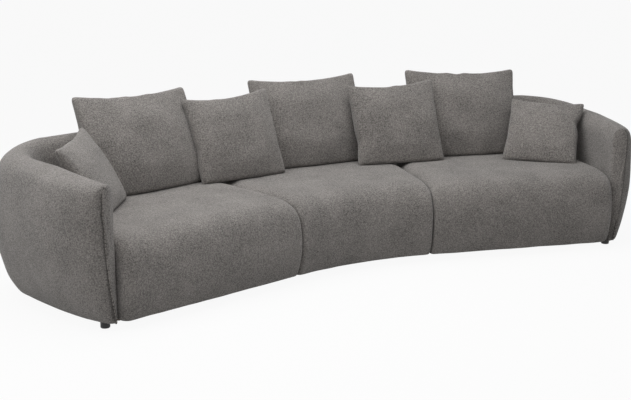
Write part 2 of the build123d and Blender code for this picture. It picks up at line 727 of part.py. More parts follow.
def hardware():
    """Springs, clips, feet, link plates and screws, grouped by kind."""
    left, centre = spring_frames()
    one = spring()
    left_springs = [frame * one for frame in left]
    left_clips = clips_at(left)
    pieces = {
        "left_seat_springs": group(left_springs),
        "centre_seat_springs": group([frame * one for frame in centre]),
        "right_seat_springs": group([mirrored(shape) for shape in left_springs]),
        "spring_clips": group(left_clips + clips_at(centre) + [mirrored(shape) for shape in left_clips]),
    }
    pieces["feet"] = group([place * foot() for place in FEET])
    head_level = HEAD_RECESS - HEAD_HEIGHT - FIT
    pieces["foot_screws"] = group([place * screw(head_level) for place in FEET])
    plates = [place * link_plate() for place in plate_places()]
    pieces["link_plates"] = group(plates + [mirrored(plate) for plate in plates])
    under_plate = FOOT_HEIGHT - FIT - PLATE - HEAD_HEIGHT - FIT
    pieces["link_screws"] = group([place * screw(under_plate) for place in PLATE_SCREWS])
    return pieces


def cushions():
    """Cover and filling of each loose cushion."""
    back = cushion_layers(BACK_CUSHION_WIDTH, BACK_CUSHION_HEIGHT, BACK_CUSHION_THICK)
    scatter = cushion_layers(SCATTER_WIDTH, SCATTER_HEIGHT, SCATTER_THICK)
    small = cushion_layers(SMALL_WIDTH, SMALL_HEIGHT, SMALL_THICK)
    right = on_arc(HALF_TURN)
    left_spot = (LEFT * Pos(LEFT_BACK_ALONG, LEFT_BACK_DEPTH, 0)).position
    right_spot = (right * Pos(-RIGHT_BACK_ALONG, RIGHT_BACK_DEPTH, 0)).position
    places = {
        "left_back_cushion": (back, leaning(left_spot.X, left_spot.Y, HALF_TURN, BACK_LEAN, LEFT_BACK_TILT)),
        "centre_back_cushion": (back, leaning(CENTRE_BACK_X, CENTRE_BACK_DEPTH, 0, BACK_LEAN)),
        "right_back_cushion": (back, leaning(right_spot.X, right_spot.Y, -HALF_TURN, BACK_LEAN, RIGHT_BACK_TILT)),
        "left_scatter_cushion": (scatter, leaning(*LEFT_SCATTER, LEFT_SCATTER_TURN, BACK_LEAN)),
        "right_scatter_cushion": (
            scatter,
            leaning(*RIGHT_SCATTER, RIGHT_SCATTER_TURN, BACK_LEAN, RIGHT_SCATTER_TILT),
        ),
        "left_corner_cushion": (
            small,
            leaning(*LEFT_CORNER, LEFT_CORNER_TURN, LEFT_CORNER_LEAN, LEFT_CORNER_TILT),
        ),
        "right_corner_cushion": (
            small,
            leaning(*RIGHT_CORNER, RIGHT_CORNER_TURN, RIGHT_CORNER_LEAN, RIGHT_CORNER_TILT),
        ),
    }
    pieces = {}
    for name, (layers, place) in places.items():
        cover, filling = cushion(layers, place)
        pieces[name + "_cover"] = cover
        pieces[name + "_filling"] = filling
    return pieces


def all_pieces():
    pieces = {}
    for name, shape in end_module().items():
        pieces["left_" + name] = shape
        pieces["right_" + name] = mirrored(shape)
    for name, shape in centre_module().items():
        pieces["centre_" + name] = shape
    pieces.update(hardware())
    pieces.update(cushions())
    return pieces


def main():
    pieces = all_pieces()
    front = pieces["left_seat_cover"].bounding_box().min.Y
    back = pieces["centre_shell_padding"].bounding_box().max.Y
    centred = Pos(0, -(front + back) / 2, 0)
    print("middle of the depth from the front line:", round((front + back) / 2, 3))
    os.makedirs("parts", exist_ok=True)
    for name, shape in pieces.items():
        export_step(centred * shape, "parts/" + name + ".step")


main()
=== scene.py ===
# %% [markdown]
# # A curved sofa with loose cushions
# The sofa has three padded modules on a curved front line, one wrap-round shell of arms and back, and
# seven loose cushions. Each lesson below makes one piece or one finish, and fits it to the solid model,
# which is in metres with +X to the right as seen from the front, +Y to the back and +Z up.

# %% Load the solid model
import json
import math
import random

import bmesh
import bpy
from mathutils import Matrix, Vector, noise


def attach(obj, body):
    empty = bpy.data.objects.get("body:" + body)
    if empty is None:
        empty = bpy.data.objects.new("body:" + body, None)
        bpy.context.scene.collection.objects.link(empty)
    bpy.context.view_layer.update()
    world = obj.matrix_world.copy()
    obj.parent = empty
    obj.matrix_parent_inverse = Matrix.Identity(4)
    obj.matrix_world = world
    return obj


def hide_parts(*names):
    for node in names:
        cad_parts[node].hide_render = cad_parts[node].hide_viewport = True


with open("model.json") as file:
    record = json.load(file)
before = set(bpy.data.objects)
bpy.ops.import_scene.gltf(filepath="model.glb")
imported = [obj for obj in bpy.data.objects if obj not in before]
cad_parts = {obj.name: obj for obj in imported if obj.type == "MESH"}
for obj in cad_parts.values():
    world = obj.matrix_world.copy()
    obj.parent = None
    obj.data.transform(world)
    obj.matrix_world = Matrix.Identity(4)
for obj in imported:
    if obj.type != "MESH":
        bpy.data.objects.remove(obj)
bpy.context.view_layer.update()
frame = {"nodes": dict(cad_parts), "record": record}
scene = bpy.context.scene
scene.view_settings.view_transform = "Standard"

# %% [markdown]
# ## Camera
# The photograph was taken from the front left at about eye height. Its place and lens were worked out
# from the straight seat edges and the joints between the seats, so the perspective is the real one. One
# shift takes places from the plan, which starts at the front line, to the solid model, whose origin is in
# the middle of its depth.

# %% Camera
DEPTH_SHIFT = 0.315172
CAMERA_PLACE = (-2.911, -4.842 - DEPTH_SHIFT, 1.7035)
LOOK_DOWN = 13.430
CAMERA_TILT = math.radians(90.0 - LOOK_DOWN)
CAMERA_PAN = math.radians(-28.689)
FOCAL_PIXELS = 1185.27
PICTURE_WIDTH = 631
SENSOR = 36.0


def linked(name, data):
    """A new object in the scene."""
    piece = bpy.data.objects.new(name, data)
    scene.collection.objects.link(piece)
    return piece


camera_data = bpy.data.cameras.new("camera")
camera_data.sensor_width = SENSOR
camera_data.lens = SENSOR * FOCAL_PIXELS / PICTURE_WIDTH
camera = linked("camera", camera_data)
camera.location = CAMERA_PLACE
camera.rotation_euler = (CAMERA_TILT, 0.0, CAMERA_PAN)
scene.camera = camera
print("lens:", round(camera_data.lens, 2), "mm")

# %% [markdown]
# ## Ground and backdrop
# The sofa stands on a plain white ground that runs out of the picture. The camera, and any gloss or clear
# piece, sees it nearly as pure white with a faint shadow, while the light that it throws back on the sofa
# stays modest. Stronger lamps would bleach the fabric, so a Light Path node tells the two kinds of light
# apart.

# %% Ground and backdrop
FLOOR_SIZE = 160.0
FLOOR_WHITE = 0.62
FLOOR_GLOW = 0.93
AMBIENT = 0.425


def add_node(tree, kind, inputs, **settings):
    """A node with its settings, whose inputs get plain values or the outputs of other nodes."""
    node = tree.nodes.new(kind)
    for label, value in settings.items():
        setattr(node, label, value)
    for label, value in inputs.items():
        if isinstance(value, bpy.types.NodeSocket):
            tree.links.new(value, node.inputs[label])
        else:
            node.inputs[label].default_value = value
    return node


def arithmetic(tree, operation, first, second):
    return add_node(tree, "ShaderNodeMath", {0: first, 1: second}, operation=operation).outputs[0]


def sees_backdrop(tree):
    """One for rays from the camera, a gloss or a clear piece, and zero for light that falls on the sofa."""
    rays = tree.nodes.new("ShaderNodeLightPath").outputs
    bent = arithmetic(tree, "MAXIMUM", rays["Is Glossy Ray"], rays["Is Transmission Ray"])
    return arithmetic(tree, "MAXIMUM", rays["Is Camera Ray"], bent)


def put_out_mix(tree, share, lighting, seen, end):
    """Put out one shader for lighting and another for what is seen, mixed by a share."""
    mix = add_node(tree, "ShaderNodeMixShader", {"Fac": share, 1: lighting.outputs[0], 2: seen.outputs[0]})
    add_node(tree, end, {"Surface": mix.outputs[0]})


def floor_material():
    material = bpy.data.materials.new("white_ground")
    material.use_nodes = True
    tree = material.node_tree
    tree.nodes.clear()
    matte = add_node(tree, "ShaderNodeBsdfDiffuse", {"Color": (FLOOR_WHITE, FLOOR_WHITE, FLOOR_WHITE, 1.0)})
    glow = tree.nodes.new("ShaderNodeEmission")
    share = arithmetic(tree, "MULTIPLY", sees_backdrop(tree), FLOOR_GLOW)
    put_out_mix(tree, share, matte, glow, "ShaderNodeOutputMaterial")
    return material


def build_world():
    world = bpy.data.worlds.new("studio")
    scene.world = world
    world.use_nodes = True
    tree = world.node_tree
    tree.nodes.clear()
    lighting = add_node(tree, "ShaderNodeBackground", {"Strength": AMBIENT})
    seen = add_node(tree, "ShaderNodeBackground", {"Strength": 1.0})
    put_out_mix(tree, sees_backdrop(tree), lighting, seen, "ShaderNodeOutputWorld")


bpy.ops.mesh.primitive_plane_add(size=FLOOR_SIZE)
floor = bpy.context.object
floor.name = "ground"
floor.data.materials.append(floor_material())
build_world()
print("ground:", FLOOR_SIZE, "m wide, ambient light", AMBIENT)

# %% [markdown]
# ## Lamps
# A wide soft lamp hangs above the seats, so that the upward faces are the light ones, as in the
# photograph. A smaller one at the left lifts the outer face of the left arm. Both are large rectangles,
# because a small lamp would draw hard shadow lines between the cushions.

# %% Lamps
TOP_LAMP = 124.0
TOP_LAMP_SIZE = (4.5, 3.2)
TOP_LAMP_PLACE = (-1.0, -0.50, 3.3)
TOP_LAMP_TARGET = (-1.0, -0.49, 0.0)
SIDE_LAMP = 29.0
SIDE_LAMP_SIZE = (2.5, 2.0)
SIDE_LAMP_PLACE = (-4.6, -0.6, 2.3)
SIDE_LAMP_TARGET = (-1.4, 0.0, 0.4)


def soft_lamp(name, power, size, place, target):
    """A rectangular lamp that faces a point of the sofa."""
    data = bpy.data.lights.new(name, "AREA")
    data.shape = "RECTANGLE"
    data.size, data.size_y = size
    data.energy = power
    lamp = linked(name, data)
    lamp.location = place
    lamp.rotation_euler = (Vector(target) - Vector(place)).to_track_quat("-Z", "Y").to_euler()


soft_lamp("top_lamp", TOP_LAMP, TOP_LAMP_SIZE, TOP_LAMP_PLACE, TOP_LAMP_TARGET)
soft_lamp("side_lamp", SIDE_LAMP, SIDE_LAMP_SIZE, SIDE_LAMP_PLACE, SIDE_LAMP_TARGET)
print("lamps:", TOP_LAMP, "and", SIDE_LAMP, "W")

# %% [markdown]
# ## Building blocks for finishes
# A finish that several materials share is one node group with a few inputs. It puts out only a colour, a
# height for the relief and a roughness, and each material keeps a Principled node of its own.

# %% Helpers for shader groups
SURFACE_OUTPUTS = {"Color": "Color", "Height": "Float", "Roughness": "Float"}
NOISE_RANGE = (0.3, 0.7)
WHOLE = (0.0, 1.0)


def node_tree(name, kind, inputs, outputs):
    """A node tree with its sockets, and the sockets that give its inputs."""
    tree = bpy.data.node_groups.new(name, kind)
    for label, socket, value in inputs:
        opened = tree.interface.new_socket(label, in_out="INPUT", socket_type="NodeSocket" + socket)
        if value is not None:
            opened.default_value = value
    for label, socket in outputs.items():
        tree.interface.new_socket(label, in_out="OUTPUT", socket_type="NodeSocket" + socket)
    return tree, tree.nodes.new("NodeGroupInput").outputs


def remap(tree, source, old, new):
    """Stretch a value from an old range to a new one."""
    inputs = {"Value": source, "From Min": old[0], "From Max": old[1], "To Min": new[0], "To Max": new[1]}
    return add_node(tree, "ShaderNodeMapRange", inputs).outputs["Result"]


def noise_level(tree, where, old, new, **settings):
    """A noise, stretched from its usual range to a new one."""
    node = add_node(tree, "ShaderNodeTexNoise", {"Vector": where, **settings})
    return remap(tree, node.outputs["Fac"], old, new)


def mix_colour(tree, share, first, second):
    node = add_node(tree, "ShaderNodeMix", {"Factor": share}, data_type="RGBA")
    colour_inputs = [socket for socket in node.inputs if socket.type == "RGBA"]
    for socket, source in zip(colour_inputs, (first, second)):
        tree.links.new(source, socket)
    return [socket for socket in node.outputs if socket.type == "RGBA"][0]


def shaded(name, group, settings, bump, depth, **surface):
    """A material whose colour, roughness and relief come from one shader group."""
    material = bpy.data.materials.new(name)
    material.use_nodes = True
    tree = material.node_tree
    skin = tree.nodes["Principled BSDF"]
    for label, value in surface.items():
        skin.inputs[label.replace("_", " ")].default_value = value
    where = tree.nodes.new("ShaderNodeTexCoord")
    inputs = {"Vector": where.outputs["Object"], **settings}
    node = add_node(tree, "ShaderNodeGroup", inputs, node_tree=group)
    inputs = {"Strength": bump, "Distance": depth, "Height": node.outputs["Height"]}
    relief = add_node(tree, "ShaderNodeBump", inputs)
    tree.links.new(node.outputs["Color"], skin.inputs["Base Color"])
    tree.links.new(node.outputs["Roughness"], skin.inputs["Roughness"])
    tree.links.new(relief.outputs["Normal"], skin.inputs["Normal"])
    return material


print("outputs of a finish:", list(SURFACE_OUTPUTS))

# %% [markdown]
# ## Chenille
# The whole sofa wears one warm grey napped fabric. Up close it is a field of short yarn loops; from a
# step away the loops melt into a fine speckle, and broad patches look paler where the nap lies another
# way. Hair would show each yarn but is heavy, so one node group gives the speckle, the patches and the
# height of the loops.

# %% Shader group for the fabric
LOOP_SCALE = 170.0
LOOP_RANGE = (0.36, 0.64)
LOOP_SHARE = 0.65
LOOP_ROUGHNESS = (0.98, 0.84)
YARN_SCALE = 420.0
YARN_SHARE = 0.35
PATCH_SCALE = 7.0
PATCH_RANGE = (-0.5, 0.5)


def chenille_group():
    """Speckle, nap patches and loop height of a napped fabric, from object coordinates."""
    group, given = node_tree("chenille", "ShaderNodeTree", [
        ("Vector", "Vector", (0.0, 0.0, 0.0)),
        ("Deep", "Color", (0.1, 0.1, 0.1, 1.0)),
        ("Raised", "Color", (0.3, 0.3, 0.3, 1.0)),
        ("Patches", "Float", 0.25),
    ], SURFACE_OUTPUTS)
    where = given["Vector"]
    loops = noise_level(group, where, LOOP_RANGE, WHOLE, Scale=LOOP_SCALE, Detail=3.0, Roughness=0.62)
    yarn = noise_level(group, where, NOISE_RANGE, WHOLE, Scale=YARN_SCALE, Detail=1.0, Roughness=0.5)
    patch_settings = {"Scale": PATCH_SCALE, "Detail": 2.0, "Roughness": 0.5}
    patches = noise_level(group, where, NOISE_RANGE, PATCH_RANGE, **patch_settings)
    loop_part = arithmetic(group, "MULTIPLY", loops, LOOP_SHARE)
    yarn_part = arithmetic(group, "MULTIPLY", yarn, YARN_SHARE)
    weave = arithmetic(group, "ADD", loop_part, yarn_part)
    nap = arithmetic(group, "MULTIPLY", patches, given["Patches"])
    share = arithmetic(group, "ADD", weave, nap)
    colour = mix_colour(group, share, given["Deep"], given["Raised"])
    rough = remap(group, weave, WHOLE, LOOP_ROUGHNESS)
    add_node(group, "NodeGroupOutput", {"Color": colour, "Height": weave, "Roughness": rough})
    return group


CHENILLE = chenille_group()
UPHOLSTERY = shaded(
    "upholstery_chenille",
    CHENILLE,
    {"Deep": (0.062, 0.0568, 0.0525, 1.0), "Raised": (0.316, 0.293, 0.274, 1.0), "Patches": 0.20},
    bump=0.7,
    depth=0.003,
    Sheen_Weight=0.25,
    Sheen_Roughness=0.6,
    Specular_IOR_Level=0.15,
)
print("fabric group:", CHENILLE.name)

# %% [markdown]
# ## Soft outlines from a few points
# A padded form is described best by a handful of points that a smooth line runs through. A closed
# Catmull-Rom line goes through all its points, and points at even distances along it make one ring. Rings
# joined face by face make the padded skin. A rounded box would be quicker but could not swell.

# %% Helpers for smooth rings and lofted skins
CURVE_STEPS = 12
SHORTEST = 1e-9
SUBDIVISIONS = 1
RUMPLE_SHIFT = (3.7, 1.3, 2.1)
FINE_RUMPLE_SCALE = 2.3
FINE_RUMPLE_SHARE = 0.5


def smooth_ring(points, count):
    """Points at even distances on a smooth closed line through the given ones."""
    dense = []
    total = len(points)
    for index in range(total):
        before = Vector(points[index - 1])
        start = Vector(points[index])
        stop = Vector(points[(index + 1) % total])
        after = Vector(points[(index + 2) % total])
        for step in range(CURVE_STEPS):
            share = step / CURVE_STEPS
            first = start * 2
            second = (stop - before) * share
            third = (before * 2 - start * 5 + stop * 4 - after) * share * share
            fourth = (start * 3 - before - stop * 3 + after) * share * share * share
            dense.append((first + second + third + fourth) / 2)
    dense.append(dense[0])
    lengths = [0.0]
    for one, two in zip(dense, dense[1:]):
        lengths.append(lengths[-1] + (two - one).length)
    ring = []
    place = 0
    for index in range(count):
        wanted = lengths[-1] * index / count
        while lengths[place + 1] < wanted:
            place += 1
        span = lengths[place + 1] - lengths[place]
        share = (wanted - lengths[place]) / max(span, SHORTEST)
        ring.append(dense[place].lerp(dense[place + 1], share))
    return ring


def soft_piece(work, name):
    """Keep a finished skin as an object with smooth faces in the upholstery fabric."""
    mesh = bpy.data.meshes.new(name)
    work.to_mesh(mesh)
    work.free()
    mesh.polygons.foreach_set("use_smooth", [True] * len(mesh.polygons))
    mesh.materials.append(UPHOLSTERY)
    return linked(name, mesh)


def lofted(name, rings):
    """A closed skin over a row of rings, with its ends filled by fans."""
    work = bmesh.new()
    rows = [[work.verts.new(point) for point in ring] for ring in rings]
    count = len(rows[0])
    for one, two in zip(rows, rows[1:]):
        for index in range(count):
            after = (index + 1) % count
            work.faces.new((one[index], one[after], two[after], two[index]))
    for row in (rows[0], rows[-1]):
        middle = work.verts.new(sum((vert.co for vert in row), Vector()) / count)
        for index in range(count):
            work.faces.new((row[index], row[(index + 1) % count], middle))
    bmesh.ops.recalc_face_normals(work, faces=work.faces)
    return soft_piece(work, name)


def smoothed(piece):
    """Finish a soft piece with a subdivision surface."""
    finish = piece.modifiers.new("soft", "SUBSURF")
    finish.levels = SUBDIVISIONS
    finish.render_levels = SUBDIVISIONS


def rumpled(piece, height, size, seed):
    """Move each point a little along its normal, so that no padded face is perfectly even."""
    mesh = piece.data
    offset = Vector([seed * part for part in RUMPLE_SHIFT])
    moves = []
    for vert in mesh.vertices:
        broad = noise.noise((vert.co + offset) / size)
        fine = noise.noise((vert.co + offset) * FINE_RUMPLE_SCALE / size)
        moves.append(vert.normal * (broad + FINE_RUMPLE_SHARE * fine) * height)
    for vert, move in zip(mesh.vertices, moves):
        vert.co += move
    mesh.update()
    return piece


print("steps between the points of a template:", CURVE_STEPS)

# %% [markdown]
# ## The plan of the sofa
# The centre module stands on an arc whose middle lies in front of the sofa, and the end modules stand
# straight on the arc's two tangents. One function for each kind sets a point, so that the same section
# serves both: along is the way along the front line from the joint, and deep is the way to the back.

# %% Plan
FRONT_RADIUS = 1.544
HALF_TURN = math.radians(14.25)
END_SEAT_WIDTH = 1.0
SEAT_DEPTH = 0.735
SEAT_HEIGHT = 0.415
SEAT_BOTTOM = 0.0335
JOINT_GAP = 0.0004
SOFT_GAP = 0.002
INNER_FACE = SEAT_DEPTH + SOFT_GAP
ARM_FACE = -END_SEAT_WIDTH - SOFT_GAP
CORNER_RADIUS = 0.150
CORNER_ALONG = ARM_FACE + CORNER_RADIUS
CORNER_DEEP = INNER_FACE - CORNER_RADIUS


def on_arc(angle, deep, level):
    """A point of the centre module, turned by angle from its middle."""
    radius = FRONT_RADIUS + deep
    return Vector((radius * math.sin(angle), radius * math.cos(angle) - FRONT_RADIUS - DEPTH_SHIFT, level))


def in_end(along, deep, level, side):
    """A point of an end module; side is -1 for the left one and 1 for the right one."""
    turn = Matrix.Rotation(HALF_TURN, 3, "Z")
    start = Vector((-FRONT_RADIUS * math.sin(HALF_TURN), FRONT_RADIUS * (math.cos(HALF_TURN) - 1), 0.0))
    point = start + turn @ Vector((along, deep, level))
    return Vector((-side * point.x, point.y - DEPTH_SHIFT, point.z))


print("left front corner:", [round(value, 3) for value in in_end(-END_SEAT_WIDTH, 0.0, 0.0, -1)])

# %% [markdown]
# ## Seats
# Each seat is a deep foam block in a fabric cover that reaches nearly to the floor. Its front swells out,
# its top rolls over in a wide curve, and its ends are drawn in where the covers meet, which gives the
# dark creases. A bevel would be the same all round, so rings across the seat make the form, and they
# shrink near the ends.

# %% Seat skins
SEAT_RING = 150
SEAT_STEP = 0.022
SEAT_RUMPLE = (0.0016, 0.11)
END_SEAT_SEED = 3.0
CENTRE_SEAT_SEED = 7.0
END_ROUND = 0.020
ARM_END_ROUND = 0.050
TOP_ROUND = 0.062
TOP_SHARE = 0.8
REAR_SHARE = 0.5
LIFT_SHARE = 0.35
END_SHARES = (0.0, 0.04, 0.12, 0.24, 0.40, 0.60, 0.82, 1.05, 1.4)
# Distances to the back and levels of the section, from the front's lower edge over the top and back again
SEAT_PROFILE = (
    (0.012, 0.0338), (-0.004, 0.042), (-0.022, 0.085), (-0.038, 0.150), (-0.042, 0.215), (-0.035, 0.285),
    (-0.014, 0.345), (0.020, 0.384), (0.065, 0.404), (0.130, 0.4130), (0.240, 0.4148), (0.400, 0.4148),
    (0.560, 0.4146), (0.660, 0.412), (0.712, 0.400), (0.731, 0.372), (0.734, 0.300), (0.734, 0.160),
    (0.733, 0.050), (0.722, 0.0340), (0.550, 0.0335), (0.300, 0.0335), (0.090, 0.0335),
)
SEAT_MIDDLE = (0.36, 0.20)


def rounding(distance, radius):
    """How far a rounded edge of this radius has drawn in, at a distance from the end."""
    if distance >= radius:
        return 0.0
    return radius - math.sqrt(radius ** 2 - (radius - distance) ** 2)


def seat_ring(distance, end_round=END_ROUND):
    """One ring of a seat, at a distance from its nearest end: (deep, level) pairs."""
    front = rounding(distance, end_round)
    top = rounding(distance, TOP_ROUND) * TOP_SHARE
    points = []
    for deep, level in SEAT_PROFILE:
        high = max(0.0, (level - SEAT_MIDDLE[1]) / (SEAT_HEIGHT - SEAT_MIDDLE[1]))
        fore = max(0.0, (SEAT_MIDDLE[0] - deep) / SEAT_MIDDLE[0])
        low = max(0.0, (SEAT_MIDDLE[1] - level) / (SEAT_MIDDLE[1] - SEAT_BOTTOM))
        rear = max(0.0, (deep - SEAT_MIDDLE[0]) / (SEAT_DEPTH - SEAT_MIDDLE[0]))
        new_deep = deep + front * fore ** 2 - front * REAR_SHARE * rear ** 2
        new_level = level - top * high ** 3 + front * LIFT_SHARE * low ** 4 * fore
        points.append((new_deep, new_level, 0.0))
    return [(point.x, point.y) for point in smooth_ring(points, SEAT_RING)]


def end_distances(width, fine, step):
    """Distances from one end of a module to the other, close together at both ends."""
    near = [fine * share for share in END_SHARES]
    inner = width - 2 * near[-1]
    count = max(2, round(inner / step))
    middle = [near[-1] + inner * index / count for index in range(1, count)]
    return near + middle + [width - place for place in reversed(near)]


def end_seat(side):
    name = "left_seat" if side < 0 else "right_seat"
    width = END_SEAT_WIDTH - JOINT_GAP / 2
    rings = []
    for place in end_distances(width, TOP_ROUND, SEAT_STEP):
        end_round = ARM_END_ROUND if place < width / 2 else END_ROUND
        along = place - END_SEAT_WIDTH
        past = max(0.0, CORNER_ALONG - along)
        reach = CORNER_DEEP + math.sqrt(max(0.0, CORNER_RADIUS ** 2 - past ** 2))
        ring = []
        for deep, level in seat_ring(min(place, width - place), end_round):
            ring.append(in_end(along, min(deep, reach - SOFT_GAP), level, side))
        rings.append(ring)
    return rumpled(lofted(name, rings), *SEAT_RUMPLE, END_SEAT_SEED + side)


def centre_seat():
    half = HALF_TURN - JOINT_GAP / 2 / FRONT_RADIUS
    width = 2 * half * FRONT_RADIUS
    rings = []
    for place in end_distances(width, TOP_ROUND, SEAT_STEP):
        angle = place / FRONT_RADIUS - half
        rings.append([on_arc(angle, deep, level) for deep, level in seat_ring(min(place, width - place))])
    return rumpled(lofted("centre_seat", rings), *SEAT_RUMPLE, CENTRE_SEAT_SEED)


seats = {"left": end_seat(-1), "centre": centre_seat(), "right": end_seat(1)}
for name, seat in seats.items():
    smoothed(seat)
    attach(seat, "sofa")
    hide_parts(name + "_seat_cover", name + "_seat_foam", name + "_spring_pad")
    print(seat.name, len(seat.data.vertices), "points")

# %% [markdown]
# ## The section of the shell
# One padded shell goes round the seats. Its section is upright inside and swells outwards, with a soft roll
# on top, and it tucks in again above the floor. A smooth line through points follows those parts. At the
# front of each arm and at the joints the section is drawn in towards its middle, which rounds the edges
# there.

# %% Shell section
SHELL_RING = 110
INNER_ROLL = 0.066
OUTER_ROLL = 0.120
ROUND_SHARE = math.sqrt(0.5)
LEAN_LEVEL = 0.30
SIDE_LEVEL = 0.390
LOWER_LEVEL = 0.236
TUCK_LEVEL = 0.112
SHELL_BOTTOM = 0.033
SHELL_MIDDLE_LEVEL = 0.36
SLIGHT_SWELL = 0.002
NEAREST = 0.02
MOST_DRAWN = 0.85
# Distances outwards of the lean, ridge, shoulder, bulge, lower side, tuck and footing
ARM_PROFILE = (0.002, 0.062, 0.182, 0.200, 0.188, 0.152, 0.098)
BACK_PROFILE = (0.052, 0.118, 0.208, 0.220, 0.208, 0.174, 0.124)
FRONT_PROFILE = (0.000, 0.034, 0.066, 0.062, 0.050, 0.033, 0.017)


def between(first, second, share):
    return tuple(one + (two - one) * share for one, two in zip(first, second))


def shell_ring(profile, height, roll_share=1.0, inset=0.0):
    """One section of the shell: (outwards, level) pairs, drawn in by inset all round."""
    lean, ridge, shoulder, bulge, lower, tuck, footing = profile
    drop = OUTER_ROLL * roll_share
    # The inner face, the roll on top, the outer side down to the tuck, and the underside
    points = [
        (0.002, SHELL_BOTTOM + 0.012),
        (lean * 0.45, LEAN_LEVEL),
        (lean * 0.85, height - INNER_ROLL * 1.8),
        (lean, height - INNER_ROLL),
        (lean + (ridge - lean) * (1 - ROUND_SHARE), height - INNER_ROLL * (1 - ROUND_SHARE)),
        (ridge, height),
        (ridge + (shoulder - ridge) * ROUND_SHARE, height - drop * (1 - ROUND_SHARE)),
        (shoulder, height - drop),
        ((shoulder + bulge) / 2 + SLIGHT_SWELL, (height - drop + SIDE_LEVEL) / 2),
        (bulge, SIDE_LEVEL),
        (bulge - SLIGHT_SWELL, (SIDE_LEVEL + LOWER_LEVEL) / 2),
        (lower, LOWER_LEVEL),
        (tuck + (lower - tuck) * 0.55, (LOWER_LEVEL + TUCK_LEVEL) / 2),
        (tuck, TUCK_LEVEL),
        (footing + (tuck - footing) * 0.42, SHELL_BOTTOM + 0.026),
        (footing, SHELL_BOTTOM + 0.003),
        (footing * 0.55, SHELL_BOTTOM),
        (0.012, SHELL_BOTTOM + 0.001),
    ]
    drawn = []
    for reach, level in points:
        away = Vector((reach - ridge, level - SHELL_MIDDLE_LEVEL))
        pull = min(inset / max(away.length, NEAREST), MOST_DRAWN)
        drawn.append((reach - away.x * pull, level - away.y * pull, 0.0))
    return [(point.x, point.y) for point in smooth_ring(drawn, SHELL_RING)]


print("points of one shell section:", SHELL_RING)

# %% [markdown]
# ## Arms and back
# At the front of each arm the shell narrows to a slim upright panel with a rounded inner edge. From there
# the section swells along the arm, turns round the rear corner and runs along the back to the joint. A
# curve with a bevel could carry only one section, so the rings are set one by one.

# %% Shell skins
ARM_FRONT_HEIGHT = 0.640
ARM_HEIGHT = 0.664
BACK_HEIGHT = 0.700
ARM_SET_BACK = 0.014
ARM_FLARE = 0.400
ARM_STEPS = 30
ARM_STEP_POWER = 1.6
CORNER_STEPS = 18
SHELL_STEP = 0.03
SHELL_END_ROUND = 0.03
SHELL_RUMPLE = (0.0018, 0.14)
END_SHELL_SEED = 11.0
CENTRE_SHELL_SEED = 19.0
FRONT_ROLL_SHARE = 0.30
NOSE_INSET = 0.030
NOSE_AHEAD = 0.010
NOSE_SHARES = (1.0, 0.8, 0.6, 0.42, 0.26, 0.13, 0.04)
EDGE_WIDTH = 0.056
EDGE_DEPTH = 0.028
EDGE_FADE = 0.12


def edge_set_back(out, behind):
    """How far the rounded inner edge of the arm's front lies back, at a distance behind the front."""
    share = min(max(1 - out / EDGE_WIDTH, 0.0), 1.0)
    fade = max(0.0, 1 - behind / EDGE_FADE)
    return EDGE_DEPTH * share ** 2 * fade


def arm_ring(section, deep, behind, side):
    """A section set across an arm, with the inner edge of its front rounded."""
    ring = []
    for out, level in section:
        ring.append(in_end(ARM_FACE - out, deep + edge_set_back(out, behind), level, side))
    return ring


def arm_rings(side):
    """Rings from the arm's round nose to the rear corner."""
    rings = []
    for share in NOSE_SHARES:
        ahead = NOSE_AHEAD * math.sqrt(1 - (1 - share) ** 2)
        section = shell_ring(FRONT_PROFILE, ARM_FRONT_HEIGHT, FRONT_ROLL_SHARE, NOSE_INSET * share)
        rings.append(arm_ring(section, ARM_SET_BACK - ahead, 0.0, side))
    for step in range(ARM_STEPS):
        share = (step / ARM_STEPS) ** ARM_STEP_POWER
        deep = ARM_SET_BACK + share * (CORNER_DEEP - ARM_SET_BACK)
        flare = min(1.0, (deep - ARM_SET_BACK) / ARM_FLARE)
        swell = math.sqrt(1 - (1 - flare) ** 2)
        profile = between(FRONT_PROFILE, ARM_PROFILE, swell)
        height = ARM_FRONT_HEIGHT + (ARM_HEIGHT - ARM_FRONT_HEIGHT) * flare
        roll_share = FRONT_ROLL_SHARE + (1 - FRONT_ROLL_SHARE) * swell
        section = shell_ring(profile, height, roll_share)
        rings.append(arm_ring(section, deep, deep - ARM_SET_BACK, side))
    return rings


def corner_rings(side):
    rings = []
    for step in range(CORNER_STEPS):
        share = step / CORNER_STEPS
        turn = share * math.pi / 2
        height = ARM_HEIGHT + (BACK_HEIGHT - ARM_HEIGHT) * share
        ring = []
        for out, level in shell_ring(between(ARM_PROFILE, BACK_PROFILE, share), height):
            radius = CORNER_RADIUS + out
            along = CORNER_ALONG - radius * math.cos(turn)
            deep = CORNER_DEEP + radius * math.sin(turn)
            ring.append(in_end(along, deep, level, side))
        rings.append(ring)
    return rings


def back_section(distance):
    """The section of the back, drawn in near a joint."""
    return shell_ring(BACK_PROFILE, BACK_HEIGHT, 1.0, rounding(distance, SHELL_END_ROUND))


def back_rings(side):
    rings = []
    length = -JOINT_GAP / 2 - CORNER_ALONG
    for place in end_distances(length, SHELL_END_ROUND, SHELL_STEP):
        along = CORNER_ALONG + place
        section = back_section(length - place)
        rings.append([in_end(along, INNER_FACE + out, level, side) for out, level in section])
    return rings


def end_shell(side):
    name = "left_shell" if side < 0 else "right_shell"
    rings = arm_rings(side) + corner_rings(side) + back_rings(side)
    return rumpled(lofted(name, rings), *SHELL_RUMPLE, END_SHELL_SEED + side)


